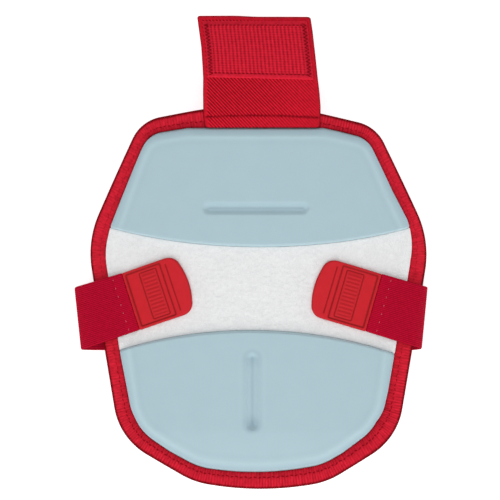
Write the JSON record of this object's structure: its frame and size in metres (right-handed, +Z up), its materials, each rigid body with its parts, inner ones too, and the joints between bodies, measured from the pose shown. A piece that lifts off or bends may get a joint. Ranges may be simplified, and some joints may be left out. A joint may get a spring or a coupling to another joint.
{
  "type": "batter's leg guard",
  "caption": "Soft curved shin guard for a baseball batter, with raised foam panels, a loop-pile waist, bound edge, elastic calf band with rubber tabs and a wide top strap.",
  "frame": {"origin": "middle of the guard's footprint, on the surface that it lies on", "axes": "+Z up out of the guard's front face, +Y towards the top strap, +X to the right of someone who looks at the front face with the top strap up"},
  "size_m": [0.226, 0.2998, 0.041],
  "materials": {
    "lining": "plain pale blue knit over thin foam",
    "panel_cloth": "smooth pale blue cloth moulded over closed-cell foam",
    "loop_pile": "white brushed loop pile",
    "binding_tape": "red ribbed woven tape",
    "band_elastic": "crimson corded woven elastic",
    "tab_rubber": "red moulded soft rubber",
    "strap_twill": "red twill-woven elastic",
    "hook_tape": "red hook tape, box stitched"
  },
  "bodies": {
    "root": {"backing": "lining", "upper_panel": "panel_cloth", "lower_panel": "panel_cloth", "loop_panel": "loop_pile", "edge_binding": "binding_tape", "calf_strap": "band_elastic", "tab_left": "tab_rubber", "tab_right": "tab_rubber", "top_strap": "strap_twill", "hook_patch": "hook_tape"}
  },
  "joints": []
}
